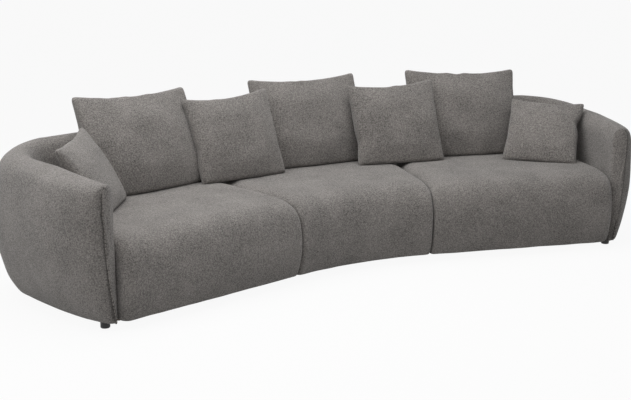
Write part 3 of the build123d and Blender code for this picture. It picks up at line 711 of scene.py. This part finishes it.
def centre_shell():
    half = HALF_TURN - JOINT_GAP / 2 / (FRONT_RADIUS + INNER_FACE)
    length = 2 * half * (FRONT_RADIUS + INNER_FACE)
    rings = []
    for place in end_distances(length, SHELL_END_ROUND, SHELL_STEP):
        angle = place / (FRONT_RADIUS + INNER_FACE) - half
        section = back_section(min(place, length - place))
        rings.append([on_arc(angle, INNER_FACE + out, level) for out, level in section])
    return rumpled(lofted("centre_shell", rings), *SHELL_RUMPLE, CENTRE_SHELL_SEED)


shells = {"left": end_shell(-1), "centre": centre_shell(), "right": end_shell(1)}
for name, shell in shells.items():
    smoothed(shell)
    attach(shell, "sofa")
    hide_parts(name + "_shell_padding")
    print(shell.name, len(shell.data.vertices), "points")

# %% [markdown]
# ## Seam flanges on the arms
# Where the outer panel of an arm meets its front panel, the two layers are sewn together and left standing
# as a narrow flange. It follows a path, so Geometry Nodes make it: a flat section is swept along a smooth
# curve, and a row of short stitches is set along the same curve.

# %% Flange tree
FLANGE_HALF_WIDTH = 0.0066
FLANGE_HALF_THICK = 0.0028
SECTION_POINTS = 12
STITCH_PITCH = 0.016
STITCH_LENGTH = 0.0125
STITCH_RADIUS = 0.0024
STITCH_SIDES = 6


def swept_oval(tree, given):
    """Sweep a flat oval section along the given curve."""
    ratio = arithmetic(tree, "DIVIDE", given["Half thickness"], given["Half width"])
    flat = add_node(tree, "ShaderNodeCombineXYZ", {"X": ratio, "Y": 1.0, "Z": 1.0})
    section = add_node(tree, "GeometryNodeCurvePrimitiveCircle", {
        "Resolution": SECTION_POINTS, "Radius": given["Half width"]})
    oval = add_node(tree, "GeometryNodeTransform", {
        "Geometry": section.outputs["Curve"], "Scale": flat.outputs[0]})
    facing = add_node(tree, "GeometryNodeSetCurveNormal", {
        "Curve": given["Geometry"], "Normal": given["Front"]}, mode="FREE")
    sweep = add_node(tree, "GeometryNodeCurveToMesh", {
        "Curve": facing.outputs["Curve"], "Profile Curve": oval.outputs["Geometry"], "Fill Caps": True})
    return add_node(tree, "GeometryNodeSetMaterial", {
        "Geometry": sweep.outputs["Mesh"], "Material": given["Fabric"]}).outputs["Geometry"]


def stitch_row(tree, given):
    """Set short stitches along the given curve, on the front of the flange."""
    points = add_node(tree, "GeometryNodeCurveToPoints", {
        "Curve": given["Geometry"], "Length": given["Stitch pitch"]}, mode="LENGTH")
    stitch = add_node(tree, "GeometryNodeMeshCylinder", {
        "Vertices": STITCH_SIDES, "Radius": given["Stitch radius"], "Depth": given["Stitch length"]})
    row = add_node(tree, "GeometryNodeInstanceOnPoints", {
        "Points": points.outputs["Points"],
        "Instance": stitch.outputs["Mesh"],
        "Rotation": points.outputs["Rotation"],
    })
    offset = add_node(tree, "ShaderNodeVectorMath", {
        0: given["Front"], "Scale": given["Half thickness"]}, operation="SCALE")
    shift = add_node(tree, "GeometryNodeTranslateInstances", {
        "Instances": row.outputs["Instances"],
        "Translation": offset.outputs["Vector"],
        "Local Space": False,
    })
    solid = add_node(tree, "GeometryNodeRealizeInstances", {"Geometry": shift.outputs["Instances"]})
    return add_node(tree, "GeometryNodeSetMaterial", {
        "Geometry": solid.outputs["Geometry"], "Material": given["Thread"]}).outputs["Geometry"]


def flange_tree():
    """A flat oval swept along a curve, with a row of stitches on its face."""
    tree, given = node_tree("seam_flange", "GeometryNodeTree", [
        ("Geometry", "Geometry", None),
        ("Half width", "Float", FLANGE_HALF_WIDTH),
        ("Half thickness", "Float", FLANGE_HALF_THICK),
        ("Front", "Vector", (0.0, -1.0, 0.0)),
        ("Stitch pitch", "Float", STITCH_PITCH),
        ("Stitch length", "Float", STITCH_LENGTH),
        ("Stitch radius", "Float", STITCH_RADIUS),
        ("Fabric", "Material", None),
        ("Thread", "Material", None),
    ], {"Geometry": "Geometry"})
    join = add_node(tree, "GeometryNodeJoinGeometry", {"Geometry": swept_oval(tree, given)})
    tree.links.new(stitch_row(tree, given), join.inputs["Geometry"])
    add_node(tree, "NodeGroupOutput", {"Geometry": join.outputs["Geometry"]})
    return tree


FLANGE_TREE = flange_tree()
print("flange tree:", len(FLANGE_TREE.nodes), "nodes")

# %% [markdown]
# ## The flanges in place
# The seam stands on the outer edge of the arm's front panel and wanders in and out a little below the
# shoulder, as a hand-guided seam does. Its points come from the arm's own section, so that it stays on
# the edge when a size changes. Its fabric is the same chenille made darker, with the shade that a
# standing edge holds painted into its colour.

# %% Flanges
LINE_STEPS = 16
LINE_ORDER = 3
# Outwards and up from the footing
FLANGE_FOOT = (0.004, 0.014)
# Outwards and down from the shoulder
FLANGE_WANDER = ((-0.005, 0.14), (0.004, 0.09), (-0.003, 0.05), (0.003, 0.01))
# Inwards from the shoulder and down from the top
FLANGE_TIP = (0.016, 0.010)
# The chenille's colours made darker: painted shade of the standing seam edge, not a different cloth.
FLANGE_PAINTED_SHADE = shaded(
    "seam_flange_painted_shade",
    CHENILLE,
    {"Deep": (0.030, 0.0275, 0.0254, 1.0), "Raised": (0.125, 0.1159, 0.1082, 1.0), "Patches": 0.10},
    bump=0.6,
    depth=0.002,
    Sheen_Weight=0.2,
    Specular_IOR_Level=0.15,
)
THREAD = shaded(
    "sewing_thread",
    CHENILLE,
    {"Deep": (0.075, 0.0690, 0.0640, 1.0), "Raised": (0.330, 0.3060, 0.2860, 1.0), "Patches": 0.0},
    bump=0.2,
    depth=0.0005,
    Specular_IOR_Level=0.2,
)


def made_by(tree, source, values, name):
    """Run a geometry tree on a source object and keep the result as a plain mesh."""
    modifier = source.modifiers.new("make", "NODES")
    modifier.node_group = tree
    for item in tree.interface.items_tree:
        if item.item_type == "SOCKET" and item.in_out == "INPUT" and item.name in values:
            modifier[item.identifier] = values[item.name]
    bpy.context.view_layer.update()
    evaluated = source.evaluated_get(bpy.context.evaluated_depsgraph_get())
    mesh = bpy.data.meshes.new_from_object(evaluated)
    mesh.name = name
    bpy.data.objects.remove(source)
    mesh.polygons.foreach_set("use_smooth", [True] * len(mesh.polygons))
    return linked(name, mesh)


def flange_line(side):
    """Points up the outer edge of an arm's front panel, from the floor edge to just below the top."""
    _, _, shoulder, bulge, lower, tuck, footing = FRONT_PROFILE
    shoulder_level = ARM_FRONT_HEIGHT - OUTER_ROLL * FRONT_ROLL_SHARE
    edge = [
        (footing + FLANGE_FOOT[0], SHELL_BOTTOM + FLANGE_FOOT[1]),
        (tuck, TUCK_LEVEL),
        (lower, LOWER_LEVEL),
        (bulge, SIDE_LEVEL),
    ]
    edge += [(shoulder + out, shoulder_level - down) for out, down in FLANGE_WANDER]
    edge.append((shoulder - FLANGE_TIP[0], ARM_FRONT_HEIGHT - FLANGE_TIP[1]))
    front = ARM_SET_BACK - FLANGE_HALF_THICK
    return [in_end(ARM_FACE - out, front, level, side) for out, level in edge]


def curve_through(name, points):
    data = bpy.data.curves.new(name, "CURVE")
    data.dimensions = "3D"
    data.resolution_u = LINE_STEPS
    spline = data.splines.new("NURBS")
    spline.points.add(len(points) - 1)
    for spot, point in zip(spline.points, points):
        spot.co = (*point, 1.0)
    spline.order_u = LINE_ORDER
    spline.use_endpoint_u = True
    return linked(name, data)


for side, name in ((-1, "left"), (1, "right")):
    line = curve_through(name + "_flange_line", flange_line(side))
    front = in_end(0.0, -1.0, 0.0, side) - in_end(0.0, 0.0, 0.0, side)
    values = {"Front": front, "Fabric": FLANGE_PAINTED_SHADE, "Thread": THREAD}
    flange = made_by(FLANGE_TREE, line, values, name + "_flange")
    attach(flange, "sofa")
    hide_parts(name + "_arm_flange")
    print(flange.name, len(flange.data.polygons), "faces")

# %% [markdown]
# ## The pattern of a loose cushion
# A loose cushion is two panels sewn together and filled. The pattern stands upright round the origin: two
# sheets on one grid that share their edge, with blunt corners and a slight crown that tells the filling
# which way to swell. A block could be sculpted by hand, but sewn sheets find their own crown.

# %% Cushion pattern
CUSHION_GRID = 0.0105
CUSHION_EDGE = 0.016
EAR_ROUND = 0.030
CROWN_POWER = 2.4
CROWN_ROUND = 0.75
START_CROWN = 0.62
PATTERN_SPARE = 1.03
UNEVEN = 0.0006


def crown(across, up, width, height, thick):
    """Half of a cushion's thickness at a point of its middle plane, as the solid model has it."""
    share = min(abs(across) * 2 / width, 1.0)
    rise = min(abs(up) * 2 / height, 1.0)
    swell = (1 - share ** CROWN_POWER) ** CROWN_ROUND
    return (CUSHION_EDGE + (thick - CUSHION_EDGE) * swell * (1 - rise ** 2)) / 2


def grid_point(share_x, share_z, width, height):
    """The place of a grid point on the flat pattern, whose corners are drawn in to a small round."""
    across = (share_x - 0.5) * width
    up = (share_z - 0.5) * height
    past_x = abs(across) - (width / 2 - EAR_ROUND)
    past_z = abs(up) - (height / 2 - EAR_ROUND)
    if past_x <= 0 or past_z <= 0:
        return across, up
    share = max(past_x, past_z) / math.hypot(past_x, past_z)
    across = math.copysign(width / 2 - EAR_ROUND + past_x * share, across)
    up = math.copysign(height / 2 - EAR_ROUND + past_z * share, up)
    return across, up


def cushion_pattern(name, width, height, thick, seed):
    """Two sheets that share their edge, a little crowned, and the grid place of each of their points."""
    rng = random.Random(seed)
    columns = round(width / CUSHION_GRID)
    rows = round(height / CUSHION_GRID)
    work = bmesh.new()
    sheets = []
    grid = []
    for face in (-1, 1):
        sheet = []
        for row in range(rows + 1):
            line = []
            for column in range(columns + 1):
                edge = row in (0, rows) or column in (0, columns)
                if edge and face == 1:
                    line.append(sheets[0][row][column])
                    continue
                across, up = grid_point(column / columns, row / rows, width, height)
                across *= PATTERN_SPARE
                up *= PATTERN_SPARE
                bulge = 0.0
                if not edge:
                    depth = crown(across / PATTERN_SPARE, up / PATTERN_SPARE, width, height, thick)
                    bulge = face * (depth * START_CROWN + rng.uniform(-UNEVEN, UNEVEN))
                grid.append((column / columns, row / rows))
                line.append(work.verts.new((across, bulge, up)))
            sheet.append(line)
        sheets.append(sheet)
    for face, sheet in zip((-1, 1), sheets):
        for lower, upper in zip(sheet, sheet[1:]):
            for column in range(columns):
                corners = [lower[column], lower[column + 1], upper[column + 1], upper[column]]
                work.faces.new(corners if face < 0 else corners[::-1])
    return soft_piece(work, name), grid


print("cushion grid:", CUSHION_GRID * 1000, "mm")

# %% [markdown]
# ## Filling a cushion
# Pressure in the cloth solver stands for the filling. It gives a crowned middle, edges that pull in, and
# corners left standing as small ears. Fine ripples are smoothed away, because this thick fabric does not
# fold so small. Then the cushion is scaled to its size, with its faces near the solid model's crown.

# %% Cushion filling
CLOTH_FRAMES = 22
CLOTH = {
    "quality": 5,
    "mass": 0.25,
    "tension_stiffness": 14.0,
    "compression_stiffness": 10.0,
    "shear_stiffness": 4.0,
    "bending_stiffness": 0.35,
    "use_pressure": True,
    "uniform_pressure_force": 0.75,
}
SMOOTHINGS = 4
SMOOTH_FACTOR = 0.5
ROOM = 0.009
PLUMP = 0.78


def filled(piece):
    """Blow the pattern up with the cloth solver and keep the result."""
    cloth = piece.modifiers.new("fill", "CLOTH")
    for label, value in CLOTH.items():
        setattr(cloth.settings, label, value)
    cloth.settings.effector_weights.gravity = 0.0
    cloth.collision_settings.use_collision = False
    cloth.point_cache.frame_start = 1
    cloth.point_cache.frame_end = CLOTH_FRAMES
    for step in range(1, CLOTH_FRAMES + 1):
        scene.frame_set(step)
    evaluated = piece.evaluated_get(bpy.context.evaluated_depsgraph_get())
    result = bpy.data.meshes.new_from_object(evaluated)
    piece.modifiers.remove(cloth)
    work = bmesh.new()
    work.from_mesh(result)
    axes = {"use_axis_x": True, "use_axis_y": True, "use_axis_z": True}
    for _ in range(SMOOTHINGS):
        bmesh.ops.smooth_vert(work, verts=work.verts, factor=SMOOTH_FACTOR, **axes)
    work.to_mesh(result)
    work.free()
    old = piece.data
    piece.data = result
    bpy.data.meshes.remove(old)
    scene.frame_set(1)


def sized(piece, width, height, thick):
    """Scale the filled cushion to its size, and keep its faces in the room of its solid."""
    mesh = piece.data
    reach = [max(abs(vert.co[axis]) for vert in mesh.vertices) for axis in range(3)]
    grow = [size / 2 / most for size, most in zip((width, thick, height), reach)]
    print(piece.name, "grows by", [round(value, 3) for value in grow])
    for vert in mesh.vertices:
        across, out, up = (part * factor for part, factor in zip(vert.co, grow))
        most = crown(across, up, width, height, thick) + ROOM
        plump = thick / 2 * (abs(out) * 2 / thick) ** PLUMP
        vert.co = (across, math.copysign(min(plump, most), out), up)


print("cloth:", CLOTH_FRAMES, "frames at pressure", CLOTH["uniform_pressure_force"])

# %% [markdown]
# ## The seam and the place of a cushion
# The solver alone would leave each outline to chance, so the seam is brought to its line afterwards:
# drawn in between the ears, and pinched where the photograph shows a crease. A pinch below zero lets the
# edge bulge. The faces follow less and less towards the middle. Last, the cushion is leaned in place and
# flattened where it rests.

# %% Cushion seam and place
SIDE_DRAW = 0.014
TOP_DRAW = 0.032
SEAM_FADE = 4
CUSHION_SINK = 0.030
FOOT_ROUND = 0.022
FOOT_DRAWN_SHARE = 0.8
REST_GAP = 0.0008
FLATTENED_SHARE = 0.02


def seam_point(share_x, share_z, width, height, pinches):
    """Where a point of the seam belongs: drawn in between the ears, and pinched here and there."""
    across, up = grid_point(share_x, share_z, width, height)
    side_draw = SIDE_DRAW * (1 - (2 * share_z - 1) ** 2)
    top_draw = (TOP_DRAW if up > 0 else SIDE_DRAW) * (1 - (2 * share_x - 1) ** 2)
    for spot_x, spot_z, pull, reach in pinches:
        away = math.hypot(across - spot_x * width / 2, up - spot_z * height / 2)
        depth = pull * math.exp(-(away / reach) ** 2)
        side_draw += depth if abs(spot_x) == 1.0 else 0.0
        top_draw += depth if abs(spot_z) == 1.0 else 0.0
    return across - math.copysign(side_draw, across), up - math.copysign(top_draw, up)


def outlined(piece, grid, width, height, pinches):
    """Bring the seam of a filled cushion to its line, and let the faces follow near it."""
    vertices = piece.data.vertices
    side_moves = {}
    top_moves = {}
    flat_moves = {}
    for vert, (share_x, share_z) in zip(vertices, grid):
        across, up = seam_point(share_x, share_z, width, height, pinches)
        if share_x in (0.0, 1.0):
            side_moves[share_x, share_z] = across - vert.co.x
            flat_moves[share_x, share_z] = -vert.co.y
        if share_z in (0.0, 1.0):
            top_moves[share_x, share_z] = up - vert.co.z
            flat_moves[share_x, share_z] = -vert.co.y
    for vert, (share_x, share_z) in zip(vertices, grid):
        left = (1 - share_x) ** SEAM_FADE
        right = share_x ** SEAM_FADE
        bottom = (1 - share_z) ** SEAM_FADE
        top = share_z ** SEAM_FADE
        vert.co.x += side_moves[0.0, share_z] * left + side_moves[1.0, share_z] * right
        vert.co.z += top_moves[share_x, 0.0] * bottom + top_moves[share_x, 1.0] * top
        nearest, flat_move = max(
            (left, flat_moves[0.0, share_z]),
            (right, flat_moves[1.0, share_z]),
            (bottom, flat_moves[share_x, 0.0]),
            (top, flat_moves[share_x, 1.0]),
        )
        vert.co.y += nearest * flat_move


def leaned(piece, height, place, turn, lean, tilt):
    """Set the cushion on the seat, leaning back, and flatten it where it rests."""
    put = Matrix.Translation((place[0], place[1] - DEPTH_SHIFT, SEAT_HEIGHT))
    put = put @ Matrix.Rotation(math.radians(turn), 4, "Z") @ Matrix.Rotation(math.radians(-lean), 4, "X")
    put = put @ Matrix.Rotation(math.radians(tilt), 4, "Y")
    put = put @ Matrix.Translation((0.0, 0.0, height / 2 - CUSHION_SINK))
    mesh = piece.data
    outs = [vert.co.y for vert in mesh.vertices]
    backward = put.to_3x3() @ Vector((0.0, 1.0, 0.0))
    mesh.transform(put)
    rest = SEAT_HEIGHT + REST_GAP
    for vert, out in zip(mesh.vertices, outs):
        drawn = min(rounding(max(vert.co.z - rest, 0.0), FOOT_ROUND), abs(out) * FOOT_DRAWN_SHARE)
        vert.co -= backward * math.copysign(drawn, out)
        if vert.co.z < rest:
            vert.co.z = rest + (rest - vert.co.z) * FLATTENED_SHARE
    mesh.update()


print("cushions sink in by", CUSHION_SINK, "m")

# %% [markdown]
# ## The seven cushions
# Three back cushions lean on the shell, two scatter cushions lean on those, and two small ones sit in the
# corners. They are sewn alike, so one list of sizes, places and pinches makes all of them.

# %% Cushions
BACK_SIZE = (0.650, 0.521, 0.160)
LEFT_BACK_SIZE = (0.648, 0.530, 0.160)
SCATTER_SIZE = (0.502, 0.480, 0.130)
SMALL_SIZE = (0.408, 0.411, 0.120)
BACK_LEAN = 21.0
END_DEGREES = math.degrees(HALF_TURN)
CUSHION_RUMPLE = (0.0016, 0.10)
CUSHION_SEED = 23.0


def end_spot(along, deep, side):
    """A place on an end seat, measured from the middle of the front line."""
    spot = in_end(along, deep, 0.0, side)
    return spot.x, spot.y + DEPTH_SHIFT


# Size, place on the seat, turn, lean and tilt in degrees, and pinches of the edge: place, pull and reach
CUSHIONS = {
    "left_back": (LEFT_BACK_SIZE, end_spot(-0.405, 0.610, -1), END_DEGREES, BACK_LEAN, 1.0,
                  ((1.0, 0.05, -0.022, 0.17),)),
    "centre_back": (BACK_SIZE, (0.073, 0.600), 0.0, BACK_LEAN, 0.0, ((1.0, -0.3, 0.008, 0.04),)),
    "right_back": (BACK_SIZE, end_spot(-0.418, 0.610, 1), -END_DEGREES, BACK_LEAN, 1.5,
                   ((1.0, 0.5, 0.003, 0.06),)),
    "left_scatter": (SCATTER_SIZE, (-0.408, 0.478), 6.0, BACK_LEAN, -2.5,
                     ((-1.0, -0.15, 0.008, 0.04), (-0.75, -1.0, 0.008, 0.05))),
    "right_scatter": (SCATTER_SIZE, (0.504, 0.430), -12.0, BACK_LEAN, -2.2,
                      ((-1.0, -0.35, 0.010, 0.04), (1.0, -0.1, 0.004, 0.06))),
    "left_corner": (SMALL_SIZE, (-1.208, 0.186), 53.5, 29.0, -5.5, ((-0.2, 1.0, -0.012, 0.10),)),
    "right_corner": (SMALL_SIZE, (1.175, 0.104), -45.0, 38.0, 2.0, ((1.0, 0.3, 0.018, 0.035),)),
}
for seed, (name, (size, place, turn, lean, tilt, pinches)) in enumerate(CUSHIONS.items()):
    width, height, thick = size
    cushion, grid = cushion_pattern(name + "_cushion", width, height, thick, seed)
    filled(cushion)
    sized(cushion, width, height, thick)
    outlined(cushion, grid, width, height, pinches)
    rumpled(cushion, *CUSHION_RUMPLE, CUSHION_SEED + seed)
    leaned(cushion, height, place, turn, lean, tilt)
    smoothed(cushion)
    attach(cushion, name + "_cushion")
    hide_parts(name + "_cushion_cover", name + "_cushion_filling")

# %% [markdown]
# ## Groups for the hidden pieces
# Under the covers are plain materials. Wood and drawn metal show streaks, and felt, foam, board, cloth
# and plastic an even speckle. Both are a noise between two colours, so one function makes both groups:
# the grain stretches its noise along one way, and the speckle scales it the same in every direction.

# %% Grain and speckle groups
MOTTLE_ROUGHNESS = 0.6


def mottled_group(name, pattern, detail, spread):
    """Two colours mixed by a noise that the pattern input stretches or scales."""
    group, given = node_tree(name, "ShaderNodeTree", [
        ("Vector", "Vector", (0.0, 0.0, 0.0)),
        ("Dark", "Color", (0.2, 0.2, 0.2, 1.0)),
        ("Light", "Color", (0.6, 0.6, 0.6, 1.0)),
        pattern,
        ("Smooth", "Float", 0.5),
    ], SURFACE_OUTPUTS)
    factors = {0: given["Vector"], 1: given[pattern[0]]}
    where = add_node(group, "ShaderNodeVectorMath", factors, operation="MULTIPLY").outputs["Vector"]
    settings = {"Scale": 1.0, "Detail": detail, "Roughness": MOTTLE_ROUGHNESS}
    level = noise_level(group, where, NOISE_RANGE, WHOLE, **settings)
    colour = mix_colour(group, level, given["Dark"], given["Light"])
    rough = arithmetic(group, "ADD", given["Smooth"], arithmetic(group, "MULTIPLY", level, spread))
    add_node(group, "NodeGroupOutput", {"Color": colour, "Height": level, "Roughness": rough})
    return group


GRAIN = mottled_group("grain", ("Stretch", "Vector", (3.0, 40.0, 40.0)), detail=5.0, spread=0.12)
SPECKLE = mottled_group("speckle", ("Scale", "Float", 300.0), detail=3.0, spread=0.15)
print("groups:", GRAIN.name, SPECKLE.name)

# %% [markdown]
# ## Finishes by slot
# The frame is sawn wood and plywood with hardboard backs, the springs are drawn steel, and clips, plates
# and screws are zinc-plated; then come felt, foam, a black dust cloth and moulded feet. Each solid node
# names the slot of its material, so one table dresses all of them.

# %% Finishes by slot


def grained(name, dark, light, stretch, smooth, **surface):
    values = {"Dark": (*dark, 1.0), "Light": (*light, 1.0), "Stretch": stretch, "Smooth": smooth}
    return shaded(name, GRAIN, values, bump=0.15, depth=0.0006, **surface)


def speckled(name, dark, light, scale, smooth, **surface):
    values = {"Dark": (*dark, 1.0), "Light": (*light, 1.0), "Scale": scale, "Smooth": smooth}
    return shaded(name, SPECKLE, values, bump=0.3, depth=0.0008, **surface)


# Name, dark and light colour, stretch or scale of the noise, and least roughness
FINISHES = {
    "frame_wood": grained("sawn_wood", (0.33, 0.20, 0.10), (0.56, 0.39, 0.22), (4.0, 60.0, 60.0), 0.62),
    "plywood": grained("sanded_plywood", (0.44, 0.29, 0.15), (0.62, 0.46, 0.28), (5.0, 30.0, 260.0), 0.55),
    "hardboard": speckled("hardboard", (0.10, 0.055, 0.028), (0.19, 0.11, 0.06), 420.0, 0.5),
    "spring_steel": grained(
        "drawn_steel", (0.13, 0.13, 0.14), (0.26, 0.27, 0.28), (30.0, 400.0, 400.0), 0.32, Metallic=1.0),
    "zinc_steel": speckled("zinc_plate", (0.38, 0.39, 0.40), (0.55, 0.56, 0.57), 160.0, 0.30, Metallic=1.0),
    "felt": speckled("needled_felt", (0.10, 0.10, 0.11), (0.22, 0.22, 0.24), 520.0, 0.85),
    "foam": speckled("cut_foam", (0.66, 0.55, 0.27), (0.88, 0.79, 0.47), 700.0, 0.8),
    "dust_cloth": speckled("dust_cloth", (0.006, 0.006, 0.006), (0.02, 0.02, 0.02), 600.0, 0.8),
    "foot_plastic": speckled("moulded_feet", (0.006, 0.006, 0.006), (0.014, 0.014, 0.014), 900.0, 0.42),
}
slots = {entry["node"]: entry["material_slot"] for entry in frame["record"]["subparts"]}
dressed = 0
for node, piece in frame["nodes"].items():
    finish = FINISHES.get(slots[node])
    if finish is None:
        continue
    piece.data.materials.clear()
    piece.data.materials.append(finish)
    dressed += 1
print("dressed", dressed, "solid nodes")
